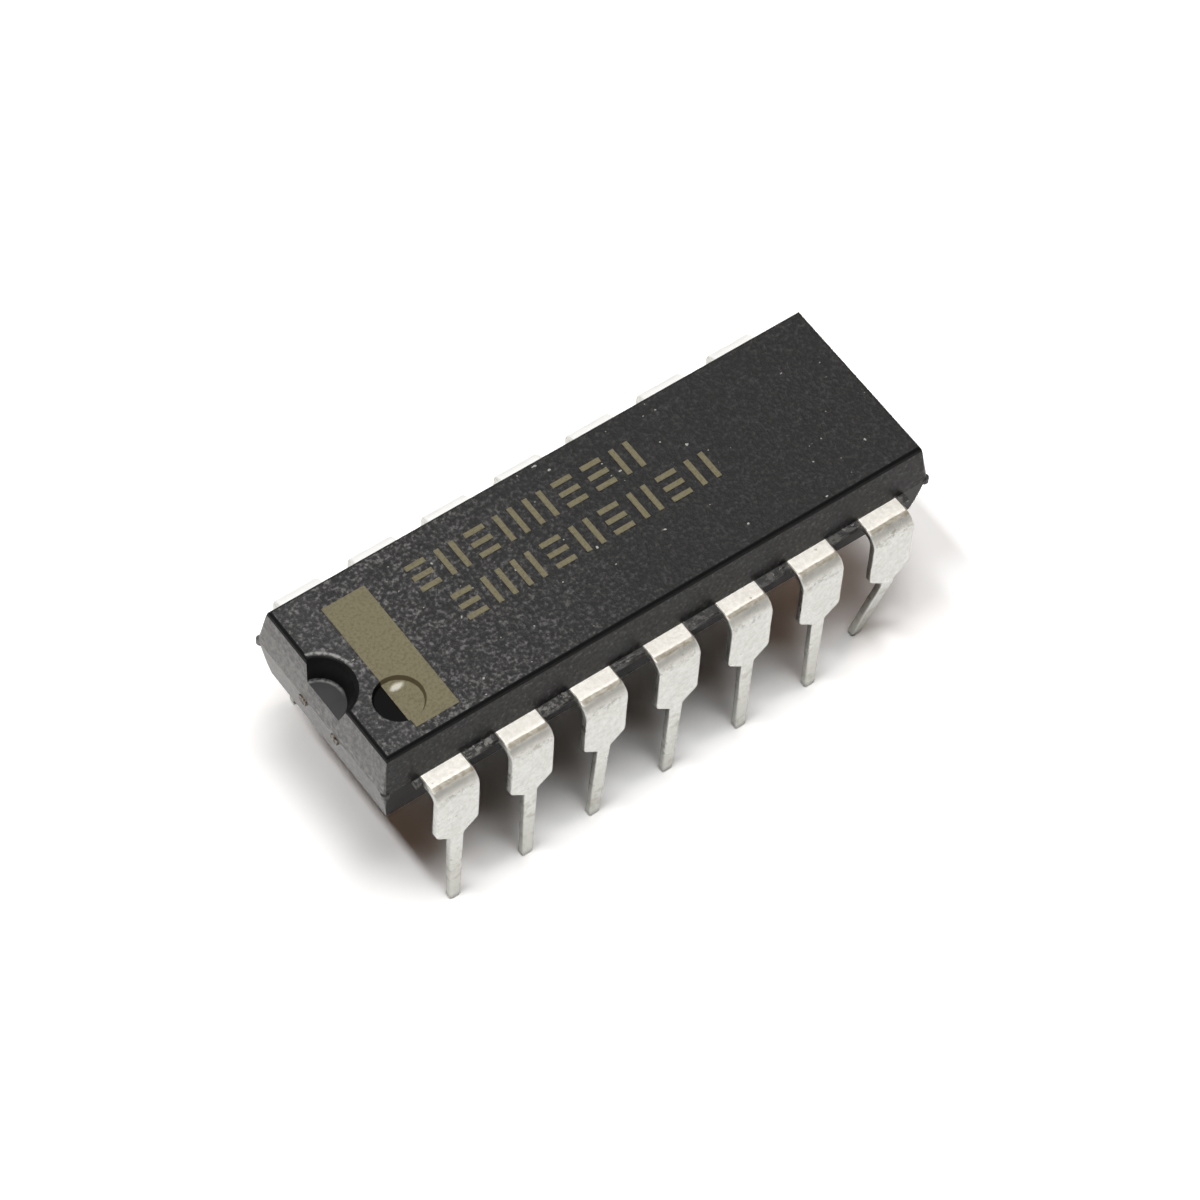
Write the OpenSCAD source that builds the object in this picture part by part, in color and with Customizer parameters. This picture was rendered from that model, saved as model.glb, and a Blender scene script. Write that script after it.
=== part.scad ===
// Fourteen-lead plastic dual in-line integrated circuit, in millimetres.
// X runs along the package from the notched end, Y across it, Z up; the lead tips stand on Z = 0.
// Lead 1 is at the notched end of the near (-Y) row, and the numbers run anticlockwise from above.
// Lead 7 is bent and leads 3 and 4 lean a little, as on a chip that has been handled.

/* [Package] */
// Distance from one lead to the next along a row
pitch = 2.54; // [2.4:0.01:2.7]
// Resin beyond half a pitch outside the last lead, at each end
end_margin = 0.635; // [0.5:0.005:0.9]
// Width of the moulded body at its parting line
body_w = 6.35; // [6.1:0.05:7]
// Thickness of the moulded body
body_h = 3.25; // [3:0.05:3.6]
// Share of the body's thickness that lies above the parting line
upper_share = 0.445; // [0.4:0.005:0.55]
// Draft of the body's side walls, in degrees
draft = 10.5; // [6:0.5:14]
// Radius along the top and bottom edges
edge_r = 0.12; // [0.05:0.01:0.2]
// Radius of the body's upright corners
corner_r = 0.22; // [0.1:0.02:0.4]

/* [Notch and dimple] */
// Radius of the index notch under its rounded rim
notch_r = 1.0; // [0.85:0.05:1.3]
// Radius of the index notch at its floor
notch_floor_r = 0.78; // [0.5:0.02:0.84]
// Depth of the index notch
notch_depth = 0.75; // [0.4:0.05:1]
// Radius that rounds the notch's rim
notch_rim_r = 0.16; // [0.05:0.01:0.2]
// Diameter of the dimple beside lead 1, at the top face
dimple_d = 1.52; // [1:0.02:1.7]
// Diameter of the dimple's floor
dimple_floor_d = 1.4; // [0.9:0.02:1.6]
// Depth of the dimple
dimple_depth = 0.16; // [0.08:0.01:0.3]
// Distance of the dimple's centre from the package's notched end
dimple_inset_x = 1.65; // [1.5:0.05:2.2]
// Distance of the dimple's centre from the near side of the package
dimple_inset_y = 1.68; // [1.5:0.05:2]
// Diameter of the two ejector marks on the underside
ejector_d = 1.9; // [1:0.05:2.4]
// Depth of the ejector marks
ejector_depth = 0.08; // [0.04:0.01:0.15]
// Distance of each ejector mark from the package's middle
ejector_x = 5.6; // [4:0.1:7]

/* [Flash] */
// Thickness of the resin flash left at the parting line
flash_t = 0.19; // [0.1:0.01:0.24]
// Mean reach of the flash between the leads, out from the wall
flash_reach = 0.24; // [0.1:0.01:0.32]
// How much the flash's reach changes from gap to gap
flash_vary = 0.05; // [0:0.01:0.08]
// Radius of the flash nub on each corner
nub_r = 0.13; // [0.12:0.01:0.18]
// Distance of a nub's centre from the square corner it fills
nub_inset = 0.1; // [0.08:0.01:0.11]

/* [Leads] */
// Thickness of the lead frame's sheet
lead_t = 0.25; // [0.2:0.01:0.3]
// Width of a lead's upper blade
blade_w = 1.44; // [1.2:0.01:1.6]
// Width of a lead's narrow pin
pin_w = 0.46; // [0.42:0.01:0.56]
// Width of the pin at its tip
pin_tip_w = 0.38; // [0.34:0.01:0.42]
// Height of the body's underside above the lead tips
underside_z = 4.2; // [4.05:0.05:4.8]
// Height at which the blade starts to narrow
blade_z = 3.86; // [3.6:0.02:3.98]
// Height over which the blade narrows to the pin
taper_h = 0.42; // [0.3:0.02:0.6]
// Flat shoulder between the body's wall and the bend
shoulder = 0.415; // [0.34:0.005:0.7]
// Outer radius of the bend
bend_r = 0.5; // [0.35:0.01:0.6]
// Radius where the blade turns to its taper
blade_corner_r = 0.2; // [0.1:0.02:0.24]
// Radius where the taper meets the pin
pin_neck_r = 0.14; // [0.06:0.02:0.2]
// Radius on the corners of each pin's tip
tip_r = 0.12; // [0.04:0.01:0.16]
// Sideways lean of lead 3 at its tip
lead_3_lean = -0.18; // [-0.4:0.02:0.4]
// Sideways lean of lead 4 at its tip
lead_4_lean = -0.1; // [-0.4:0.02:0.4]
// Sideways lean of the bent lead 7 at its tip
lead_7_lean = -0.34; // [-0.5:0.02:0.4]
// Angle by which the pin of lead 7 is bent in under the body, in degrees
lead_7_bend = 11.5; // [1:0.5:25]
// Inner radius of the bend in lead 7
lead_7_bend_r = 0.6; // [0.3:0.05:1]

/* [Lead frame inside the body] */
// Clear space between the side fingers' lane and the leads' full width
anchor_gap = 0.29; // [0.2:0.01:0.4]
// Diameter of the locking hole through each anchor, filled by the resin
lock_hole_d = 0.5; // [0.3:0.02:0.6]
// Width of the inner fingers
finger_w = 0.34; // [0.26:0.01:0.36]
// Clear space between neighbouring strips of the frame
strip_gap = 0.22; // [0.18:0.01:0.24]
// Length of the die pad
pad_l = 3.6; // [2.6:0.1:4]
// Width of the die pad
pad_w = 2.5; // [2:0.05:2.6]
// Width of the stem that carries the pad at each end
stem_w = 0.4; // [0.3:0.02:0.44]
// Width of the tie bars cut off at the end walls
tie_w = 0.3; // [0.2:0.02:0.4]
// Distance of each tie bar from the package's middle line
tie_y = 0.78; // [0.6:0.02:1]
// Distance of the fork between stem and tie bars from the end wall
fork_inset = 0.95; // [0.5:0.05:1.05]
// How far a cut tie bar stands out of the end wall
tie_stub = 0.05; // [0.02:0.01:0.12]

/* [Die and wires] */
// Length of the silicon die
die_l = 1.6; // [1.2:0.05:2]
// Width of the silicon die
die_w = 1.4; // [1.1:0.05:1.7]
// Thickness of the silicon die
die_t = 0.36; // [0.25:0.01:0.5]
// Thickness of the die attach adhesive
attach_t = 0.03; // [0.02:0.005:0.06]
// Width of adhesive squeezed out round the die
attach_fillet = 0.08; // [0.04:0.01:0.15]
// Diameter of the gold bond wires
wire_d = 0.033; // [0.025:0.001:0.05]
// Diameter of the flattened ball and of the stitch at the wires' ends
bond_d = 0.09; // [0.07:0.005:0.12]
// Height of the flattened ball and of the stitch
bond_h = 0.04; // [0.03:0.005:0.05]
// Distance of the bonds from the die's edge
bond_inset = 0.13; // [0.08:0.01:0.2]
// Distance of the stitch from a finger's end
stitch_inset = 0.17; // [0.1:0.01:0.25]
// Height of a wire's loop as a share of its span
loop_share = 0.22; // [0.15:0.01:0.3]

/* [Ink] */
// Thickness of the printed ink
ink_t = 0.015; // [0.01:0.005:0.04]
// Distance of the stripe's outer edge from the package's notched end
stripe_inset = 1.52; // [1.3:0.02:1.9]
// Width of the stripe
stripe_w = 1.44; // [1:0.02:1.6]
// Bare margin between the stripe's near end and the flat face's edge
stripe_near_margin = 0.26; // [0.1:0.02:0.6]
// Bare margin between the stripe's far end and the flat face's edge
stripe_far_margin = 0.66; // [0.1:0.02:0.9]
// Height of a mark in the two printed rows
mark_h = 0.98; // [0.6:0.02:1.1]
// Width of a mark
mark_w = 0.66; // [0.4:0.02:0.7]
// Width of the strokes of the marks
mark_stroke = 0.17; // [0.1:0.01:0.2]
// Distance from one mark to the next
mark_pitch = 1.01; // [0.8:0.01:1.04]
// Distance between the middles of the two rows
row_gap = 1.5; // [1.2:0.05:1.7]
// Distance of the far row's start from the package's notched end
rows_inset = 4.2; // [3.6:0.1:5]
// How much further in the near row starts
near_row_shift = 0.55; // [0:0.05:0.8]

/* [Hidden] */
// The lead frame's pattern is drawn for seven leads a side
leads_per_side = 7;
lead_count = 2 * leads_per_side;
middle_column = (leads_per_side - 1) / 2;
body_l = leads_per_side * pitch + 2 * end_margin;

// Facets of the true circles, and steps of an arc drawn as an outline
circle_fn = 48;
wire_fn = 20;
arc_steps = 5;
// Turn between the flats that round an upright corner
corner_turn = 22.5;
// Overshoot of cuts that leave through a face
cut = 0.5;

// Heights
top_z = underside_z + body_h;
parting_z = top_z - body_h * upper_share;
frame_z = parting_z - lead_t;
die_z = parting_z + attach_t;
die_top_z = die_z + die_t;
kink_z = blade_z - taper_h - pin_neck_r;

// The body's walls and flat faces
wall_y = body_w / 2;
end_x = body_l / 2;
top_draft = (top_z - parting_z) * tan(draft);
bottom_draft = (parting_z - underside_z) * tan(draft);
flat_top_y = wall_y - top_draft - edge_r;

// A lead's stations, counted outward from the middle line
bend_y = wall_y + shoulder;
face_y = bend_y + bend_r;
bend_z = parting_z - bend_r;

// Lanes of the inner fingers beside the stem and the pad
first_lane_y = stem_w / 2 + strip_gap + finger_w / 2;
second_lane_y = first_lane_y + finger_w + strip_gap;
side_lane_y = max(pad_w / 2, second_lane_y + finger_w / 2) + strip_gap + finger_w / 2;
end_tip_x = pad_l / 2 + strip_gap;
side_tip_y = side_lane_y - finger_w / 2;
anchor_y = side_lane_y + finger_w / 2 + anchor_gap;
side_tip_x = pad_l / 3;
fork_x = end_x - fork_inset;

// Colours
resin = [0.16, 0.16, 0.17];
tinned = [0.8, 0.8, 0.77];
silvered = [0.72, 0.71, 0.68];
glue = [0.62, 0.6, 0.56];
silicon = [0.3, 0.33, 0.42];
gold = [0.85, 0.65, 0.25];
ink = [0.49, 0.47, 0.38];

function unit(v) = v / norm(v);

function turned(v, angle) = [v[0] * cos(angle) - v[1] * sin(angle), v[0] * sin(angle) + v[1] * cos(angle)];

// The arc that rounds corner p of an outline, between its neighbours a and b
function arc_corner(a, p, b, r) =
    let (
        u = unit(a - p),
        v = unit(b - p),
        half = acos(u * v) / 2,
        centre = p + unit(u + v) * r / sin(half),
        start = p + u * r / tan(half) - centre,
        end = p + v * r / tan(half) - centre,
        turn = sign(cross(start, end)) * (180 - 2 * half)
    )
    [for (k = [0:arc_steps]) centre + turned(start, turn * k / arc_steps)];

// An outline with each corner rounded by its own radius; 0 leaves a corner sharp
function rounded(points, radii) =
    let (n = len(points))
    [
        for (i = [0:n - 1])
            each radii[i] > 0
                ? arc_corner(points[(i + n - 1) % n], points[i], points[(i + 1) % n], radii[i])
                : [points[i]]
    ];

// The outline of a strip of width w along a path, with mitred corners
function left_of(v) = [-v[1], v[0]];
function mitre(path, k) =
    let (
        before = left_of(unit(path[max(k, 1)] - path[max(k, 1) - 1])),
        next = min(k, len(path) - 2),
        after = left_of(unit(path[next + 1] - path[next])),
        both = before + after
    )
    2 * both / (both * both);
function strip(path, w) = concat(
    [for (k = [0:len(path) - 1]) path[k] + mitre(path, k) * w / 2],
    [for (k = [len(path) - 1:-1:0]) path[k] - mitre(path, k) * w / 2]
);

// Column of lead p in its own row, from +middle_column to -middle_column
function column(p) = middle_column - (p - 1) % leads_per_side;

// Each row is drawn as the far one; leads 1 to 7 are the same row turned round
module in_row(p) {
    rotate([0, 0, p <= leads_per_side ? 180 : 0]) children();
}

// The body's wall as [inset from the parting outline, height], bottom edge to top edge
body_wall = concat(
    arc_corner([wall_y, underside_z], [bottom_draft, underside_z], [0, parting_z], edge_r),
    [[0, parting_z]],
    arc_corner([0, parting_z], [top_draft, top_z], [wall_y, top_z], edge_r)
);

// A bar whose two long sides follow the body's wall, half_w from its middle at the parting line
module walled_bar(half_w, length) {
    linear_extrude(length, center = true)
        polygon(concat(
            [for (s = body_wall) [half_w - s[0], s[1]]],
            [for (k = [len(body_wall) - 1:-1:0]) [body_wall[k][0] - half_w, body_wall[k][1]]]
        ));
}

// The drafted block is what crossing bars have in common; the slanting bars round the upright corners
module drafted_block() {
    intersection_for (angle = [-90 + corner_turn:corner_turn:90])
        rotate([90, 0, angle])
            walled_bar(
                (end_x - corner_r) * cos(angle) + (wall_y - corner_r) * abs(sin(angle)) + corner_r,
                2 * body_l
            );
}

// Resin squeezed out between the leads, in line with the frame, and short stubs outside the last ones
module lead_flash() {
    for (turn = [0, 180], k = [0:leads_per_side]) {
        outermost = k == 0 || k == leads_per_side;
        reach = flash_reach + flash_vary * sin(137 * k + turn / 2);
        middle = (k - leads_per_side / 2) * pitch;
        span = outermost ? flash_reach : pitch - blade_w;
        shift = outermost ? sign(middle) * ((span + blade_w - pitch) / 2) : 0;
        rotate([0, 0, turn])
            translate([middle + shift - span / 2, wall_y - flash_t, parting_z - flash_t])
                cube([span, flash_t + reach, flash_t]);
    }
}

module corner_nubs() {
    for (sx = [-1, 1], sy = [-1, 1])
        translate([sx * (end_x - nub_inset), sy * (wall_y - nub_inset), parting_z - flash_t])
            cylinder(h = flash_t, r = nub_r, $fn = circle_fn);
}

module index_notch() {
    translate([-end_x, 0, top_z])
        rotate_extrude($fn = circle_fn)
            polygon(concat(
                [[0, cut], [0, -notch_depth], [notch_floor_r, -notch_depth]],
                arc_corner([notch_r, -notch_depth], [notch_r, 0], [2 * notch_r, 0], notch_rim_r),
                [[notch_r + notch_rim_r, cut]]
            ));
}

// The dimple's wall slopes from its floor to the top face, and on above it
module dimple() {
    over = 1 + cut / dimple_depth;
    translate([dimple_inset_x - end_x, dimple_inset_y - wall_y, top_z - dimple_depth])
        cylinder(
            h = dimple_depth * over,
            d1 = dimple_floor_d,
            d2 = dimple_floor_d + (dimple_d - dimple_floor_d) * over,
            $fn = circle_fn
        );
}

module ejector_marks() {
    for (side = [-1, 1])
        translate([side * ejector_x, 0, underside_z - cut])
            cylinder(h = cut + ejector_depth, d = ejector_d, $fn = circle_fn);
}

// The body is one moulding round the frame, the die and the wires
module moulded_body() {
    color(resin)
        difference() {
            union() {
                drafted_block();
                lead_flash();
                corner_nubs();
            }
            index_notch();
            dimple();
            ejector_marks();
            for (p = [1:lead_count]) {
                lead(p);
                bond_wire(p);
            }
            die_pad();
            die_attach();
            silicon_die();
        }
}

// The middle line of the inner finger of column k, from its anchor to its tip
function finger_path(k) =
    let (way = sign(k), x = abs(k) * pitch, start = anchor_y + finger_w)
    abs(k) < 1 ? [[0, start], [0, side_tip_y]]
    : abs(k) < 2 ? [[way * x, start], [way * x, anchor_y - finger_w / 2], [way * (x - finger_w), side_lane_y],
                    [way * side_tip_x, side_lane_y]]
    : let (lane = abs(k) < 3 ? second_lane_y : first_lane_y, slope = anchor_y - finger_w / 2 - lane)
      [[way * x, start], [way * x, lane + slope], [way * (x - slope), lane], [way * end_tip_x, lane]];

// Where the wire of column k is stitched to its finger
function stitch_point(k) =
    let (path = finger_path(k), tip = path[len(path) - 1], before = path[len(path) - 2])
    tip + unit(before - tip) * stitch_inset;

// Where the wire of column k is bonded to the die
function ball_point(k) =
    let (way = sign(k), edge_x = die_l / 2 - bond_inset, edge_y = die_w / 2 - bond_inset)
    abs(k) < 1 ? [0, edge_y]
    : abs(k) < 2 ? [way * edge_x / 2, edge_y]
    : abs(k) < 3 ? [way * edge_x, edge_y * 2 / 3]
    : [way * edge_x, edge_y / 4];

// The flat of a lead: its finger and locked anchor in the resin, and the shoulder outside
module lead_flat(k) {
    x = k * pitch;
    half = blade_w / 2;
    end_y = wall_y + shoulder / 2;
    translate([0, 0, frame_z])
        linear_extrude(lead_t)
            difference() {
                union() {
                    polygon(rounded(
                        [[x - half, end_y], [x - half, anchor_y], [x + half, anchor_y], [x + half, end_y]],
                        [0, finger_w / 2, finger_w / 2, 0]
                    ));
                    polygon(strip(finger_path(k), finger_w));
                }
                translate([x, (wall_y + anchor_y) / 2]) circle(d = lock_hole_d, $fn = circle_fn);
            }
}

// The side view of a block whose outer top corner has radius r about the origin
module rounded_shoulder(run, drop, r) {
    circle(r = r, $fn = circle_fn);
    translate([-run, -drop]) square([run, drop + r]);
    translate([-run, -drop]) square([run + r, drop]);
}

// The strip from the body's wall over the bend to the blade, about the bend's axis
module shoulder_bend() {
    run = shoulder + lead_t / 2;
    drop = bend_z - blade_z - blade_corner_r;
    rotate([90, 0, 90])
        linear_extrude(blade_w, center = true)
            difference() {
                rounded_shoulder(run, drop, bend_r);
                rounded_shoulder(run + cut, drop + cut, bend_r - lead_t);
            }
}

// A flat sheet standing in X and Z, its outer face on the local plane Y = 0
module standing_sheet(points) {
    rotate([90, 0, 0]) linear_extrude(lead_t) polygon(points);
}

// The blade's outline from the bend down through its taper; the pin ends at end_z, off to one side by lean
function blade_outline(lean, end_z) =
    rounded(
        [
            [-blade_w / 2, bend_z],
            [-blade_w / 2, blade_z],
            [-pin_w / 2, blade_z - taper_h],
            [lean - pin_tip_w / 2, end_z],
            [lean + pin_tip_w / 2, end_z],
            [pin_w / 2, blade_z - taper_h],
            [blade_w / 2, blade_z],
            [blade_w / 2, bend_z]
        ],
        [0, blade_corner_r, pin_neck_r, tip_r, tip_r, pin_neck_r, blade_corner_r, 0]
    );

// The blade of lead 7, its pin turned in under the body by a short bend that starts at kink_z.
// It is what the bent strip's side view and the leaning pin's front view have in common.
module pushed_in_blade(lean, angle) {
    middle_r = lead_7_bend_r + lead_t / 2;
    bend_length = middle_r * angle * PI / 180;
    side_path = concat(
        [[-lead_t / 2, bend_z]],
        [for (k = [0:arc_steps])
            [-lead_t / 2 - middle_r, kink_z] + turned([middle_r, 0], -angle * k / arc_steps)]
    );
    last = side_path[len(side_path) - 1];
    tip = last + turned([0, bend_length - kink_z], -angle);
    tip_z = tip[1] - lead_t / 2 * sin(angle);
    intersection() {
        rotate([90, 0, 90])
            linear_extrude(2 * blade_w, center = true) polygon(strip(concat(side_path, [tip]), lead_t));
        translate([0, cut, 0])
            rotate([90, 0, 0])
                linear_extrude(body_w) polygon(blade_outline(lean, tip_z));
    }
}

// Sideways lean of lead p at its tip, as seen along the whole package
function lean_of(p) = p == 3 ? lead_3_lean : p == 4 ? lead_4_lean : p == 7 ? lead_7_lean : 0;

module lead(p) {
    k = column(p);
    lean = p <= leads_per_side ? -lean_of(p) : lean_of(p);
    color(tinned)
        in_row(p) {
            lead_flat(k);
            translate([k * pitch, bend_y, bend_z]) shoulder_bend();
            translate([k * pitch, face_y, 0]) {
                if (p == 7) pushed_in_blade(lean, lead_7_bend);
                else standing_sheet(blade_outline(lean, 0));
            }
        }
}

// The pad under the die, with its stems, forks and the tie bars cut off at the end walls
module die_pad() {
    color(silvered)
        translate([0, 0, frame_z])
            linear_extrude(lead_t)
                union() {
                    square([pad_l, pad_w], center = true);
                    square([2 * fork_x, stem_w], center = true);
                    for (sx = [-1, 1]) {
                        translate([sx * fork_x, 0]) square([tie_w, 2 * tie_y + tie_w], center = true);
                        for (sy = [-1, 1])
                            translate([sx * (fork_x + end_x + tie_stub) / 2, sy * tie_y])
                                square([fork_inset + tie_stub, tie_w], center = true);
                    }
                }
}

module die_attach() {
    color(glue)
        translate([0, 0, parting_z + attach_t / 2])
            cube([die_l + 2 * attach_fillet, die_w + 2 * attach_fillet, attach_t], center = true);
}

module silicon_die() {
    color(silicon) translate([0, 0, die_z + die_t / 2]) cube([die_l, die_w, die_t], center = true);
}

// A wire's loop is one arc in the upright plane through its two bonds
module bond_wire(p) {
    k = column(p);
    ball = ball_point(k);
    stitch = stitch_point(k);
    run = stitch - ball;
    drop = die_top_z - parting_z;
    chord = norm([norm(run), drop]);
    sag = loop_share * chord;
    loop_r = (chord * chord / 4 + sag * sag) / (2 * sag);
    half = asin(chord / 2 / loop_r);
    fall = atan2(drop, norm(run));
    color(gold)
        in_row(p) {
            translate([ball[0], ball[1], die_top_z]) cylinder(h = bond_h, d = bond_d, $fn = wire_fn);
            translate([stitch[0], stitch[1], parting_z]) cylinder(h = bond_h, d = bond_d, $fn = wire_fn);
            translate([ball[0], ball[1], die_top_z + bond_h / 2])
                rotate([0, 0, atan2(run[1], run[0])])
                    rotate([90, 0, 0])
                        rotate([0, 0, -fall])
                            translate([chord / 2, sag - loop_r, 0])
                                rotate([0, 0, 90 - half])
                                    rotate_extrude(angle = 2 * half, $fn = circle_fn)
                                        translate([loop_r, 0]) circle(d = wire_d, $fn = wire_fn);
        }
}

// The stripe's outline, from above
module stripe_area() {
    translate([stripe_inset - end_x, stripe_near_margin - flat_top_y])
        square([stripe_w, 2 * flat_top_y - stripe_near_margin - stripe_far_margin]);
}

// The stripe lies on the top face and runs down into the dimple
module ink_stripe() {
    color(ink) {
        difference() {
            translate([0, 0, top_z]) linear_extrude(ink_t) stripe_area();
            dimple();
        }
        intersection() {
            translate([0, 0, top_z - dimple_depth]) linear_extrude(ink_t) stripe_area();
            dimple();
        }
    }
}

// One plain mark: two upright bars or three level ones
module mark(bars) {
    if (bars == 2)
        for (side = [-1, 1])
            translate([side * (mark_w - mark_stroke) / 2, 0]) square([mark_stroke, mark_h], center = true);
    if (bars == 3)
        for (level = [-1:1])
            translate([0, level * (mark_h - mark_stroke) / 2]) square([mark_w, mark_stroke], center = true);
}

// Two printed rows of plain marks, far row first
mark_rows = [[3, 2, 3, 2, 2, 3, 3, 2], [3, 2, 2, 3, 2, 3, 2, 3, 2]];
module ink_marks() {
    color(ink)
        translate([rows_inset - end_x + mark_w / 2, 0, top_z])
            linear_extrude(ink_t)
                for (row = [0, 1], k = [0:len(mark_rows[row]) - 1])
                    translate([k * mark_pitch + row * near_row_shift, row_gap * (1 - row)])
                        mark(mark_rows[row][k]);
}

moulded_body();
for (p = [1:lead_count])
    lead(p);
die_pad();
die_attach();
silicon_die();
for (p = [1:lead_count])
    bond_wire(p);
ink_stripe();
ink_marks();
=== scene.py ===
import math

import bmesh
import bpy
from mathutils import Matrix, Vector, noise
from mathutils.geometry import tessellate_polygon


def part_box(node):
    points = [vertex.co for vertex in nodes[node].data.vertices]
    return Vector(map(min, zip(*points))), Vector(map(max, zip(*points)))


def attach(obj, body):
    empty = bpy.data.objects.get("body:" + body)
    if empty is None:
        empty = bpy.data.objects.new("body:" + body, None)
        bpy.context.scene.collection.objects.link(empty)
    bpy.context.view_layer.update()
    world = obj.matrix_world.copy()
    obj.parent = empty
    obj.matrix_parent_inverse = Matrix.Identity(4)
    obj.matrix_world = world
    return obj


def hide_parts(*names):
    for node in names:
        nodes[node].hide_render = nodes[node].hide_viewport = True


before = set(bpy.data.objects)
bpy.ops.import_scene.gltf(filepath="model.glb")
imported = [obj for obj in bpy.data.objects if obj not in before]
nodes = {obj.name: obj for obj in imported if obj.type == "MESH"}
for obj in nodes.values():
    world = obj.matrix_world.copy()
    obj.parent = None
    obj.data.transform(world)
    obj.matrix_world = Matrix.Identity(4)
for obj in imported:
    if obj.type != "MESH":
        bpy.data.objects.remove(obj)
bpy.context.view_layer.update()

# Lengths are in millimetres in the object's own frame; MM turns them into metres
MM = 0.001

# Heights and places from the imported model
body_low, body_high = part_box("moulded_body")
UNDERSIDE_Z = body_low.z / MM
TOP_Z = body_high.z / MM
LEAD_TOP_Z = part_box("lead_1")[1].z / MM
STRIPE_LEFT_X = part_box("ink_stripe")[0].x / MM

# The moulding, where the finishes follow it
END_X = 9.525
WALL_Y = 3.175
NOTCH_R = 1.0
NOTCH_FLOOR_R = 0.78
DIMPLE_X = -7.875
DIMPLE_Y = -1.495
DIMPLE_RIM_R = 0.78
# Centre of the painted highlight in the dimple's ink
PAINTED_GLINT_POINT = (-7.66, -1.06, TOP_Z - 0.16)

# Name, place, radius and stretch of each crumb of flash
FLASH_CRUMBS = (
    ("flash_crumb_1", (-6.3, -3.24, 6.0), 0.09, (1.3, 0.8, 0.8)),
    ("flash_crumb_2", (-3.5, -3.27, 6.01), 0.11, (1.2, 0.9, 0.9)),
    ("flash_crumb_3", (4.22, -3.24, 6.0), 0.08, (1.2, 0.8, 1.0)),
    ("flash_crumb_4", (6.74, -3.24, 6.0), 0.08, (1.4, 0.8, 0.8)),
    ("flash_sliver", (-1.33, -3.26, 6.01), 0.1, (4.6, 0.6, 0.4)),
)
CRUMB_ROUGHNESS = 0.5
CRUMB_WAVES = 1.7

# The lead frame, as the solids have it; a lead is built in the far row and turned round for leads 1 to 7
PITCH = 2.54
LEADS_PER_SIDE = 7
BEND_Y = 3.59
BEND_OUTER_R = 0.5
SHEET_T = 0.25
HALF_T = SHEET_T / 2
BLADE_HALF = 0.72
PIN_HALF = 0.23
TIP_HALF = 0.19
BLADE_Z = 3.86
NECK_Z = 3.44
BLADE_CORNER_R = 0.2
NECK_R = 0.14
TIP_R = 0.12
LEANS = {3: -0.18, 4: -0.1, 7: -0.34}
BENT_LEAD = 7
BENT_ANGLE = math.radians(11.5)
BENT_KINK_Z = BLADE_Z - 0.42 - NECK_R
BENT_R = 0.6 + HALF_T
FINGER_W = 0.34
ANCHOR_GAP = 0.29
STRIP_GAP = 0.22
LOCK_HOLE_R = 0.25
PAD_L = 3.6
PAD_W = 2.5
STEM_W = 0.4
BEND_Z = LEAD_TOP_Z - BEND_OUTER_R
MID_Z = LEAD_TOP_Z - HALF_T
FIRST_LANE_Y = STEM_W / 2 + STRIP_GAP + FINGER_W / 2
SECOND_LANE_Y = FIRST_LANE_Y + FINGER_W + STRIP_GAP
SIDE_LANE_Y = max(PAD_W / 2, SECOND_LANE_Y + FINGER_W / 2) + STRIP_GAP + FINGER_W / 2
ANCHOR_Y = SIDE_LANE_Y + FINGER_W / 2 + ANCHOR_GAP

# Softening of the stamped edges, and where the strip has its sections
EDGE_R = 0.05
TIP_EDGE_R = 0.05
TIP_THIN_SHARE = 0.62
EDGE_STEPS = 3
CORNER_STEPS = 6
BEND_STEPS = 12
HOLE_SIDES = 24
ACROSS = (0.04, 0.2, 0.35, 0.5, 0.65, 0.8, 0.96)
SECTION_START_Y = WALL_Y - 0.09
SHOULDER_SECTIONS = (
    SECTION_START_Y, WALL_Y - 0.03, WALL_Y + 0.05, WALL_Y + 0.14, WALL_Y + 0.25, BEND_Y - 0.06, BEND_Y,
)
BLADE_SECTIONS = (0.22, 0.5, 0.8, 1.1, 1.35)
PIN_SECTIONS = (0.2, 0.45, 0.75, 1.1, 1.5, 1.9, 2.3, 2.65, 2.95, 3.15)
LEAST_STEP = 0.008
SHARP_ANGLE = math.radians(50)

# Unevenness of the tin: its heights, waves in a millimetre, run-in at the wall and shift from lead to lead
WAVE_MM = 0.009
RIPPLE_MM = 0.0025
WAVES = 1.7
RIPPLES = 6.0
SIDE_WAVES = 1.9
RUN_IN = 0.1
SEED_STEPS = (7.3, 3.1, 1.7)


def grey(value):
    """A grey as a node wants it."""
    return (value, value, value, 1.0)


# Tones of the resin: ramps as (position, colour), and single colours
RESIN_GRAIN = (
    (0.3, (0.0015, 0.0015, 0.0015, 1)),
    (0.42, (0.004, 0.004, 0.004, 1)),
    (0.5, (0.01, 0.01, 0.01, 1)),
    (0.58, (0.026, 0.026, 0.026, 1)),
    (0.7, (0.065, 0.065, 0.064, 1)),
)
RESIN_BLOOM = ((0.32, grey(0.6)), (0.68, grey(1.35)))
# How bright the grain is along the length: lighter towards the notched end
RESIN_ALONG_X = ((0.0, grey(2.7)), (1.0, grey(0.45)))
RESIN_SMOOTH = ((0.3, (0.05, 0.051, 0.052, 1)), (0.7, (0.088, 0.089, 0.09, 1)))
RESIN_WALL = ((0.35, grey(0.003)), (0.6, grey(0.026)), (0.72, grey(0.08)))
# End walls: a pale mottle that is a painted reflection of the bright floor
END_WALL_SHEEN = (
    (0.34, (0.15, 0.152, 0.155, 1)),
    (0.5, (0.225, 0.228, 0.23, 1)),
    (0.66, (0.33, 0.333, 0.335, 1)),
)
SPECK_TONE = (0.42, 0.42, 0.4, 1)
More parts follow.
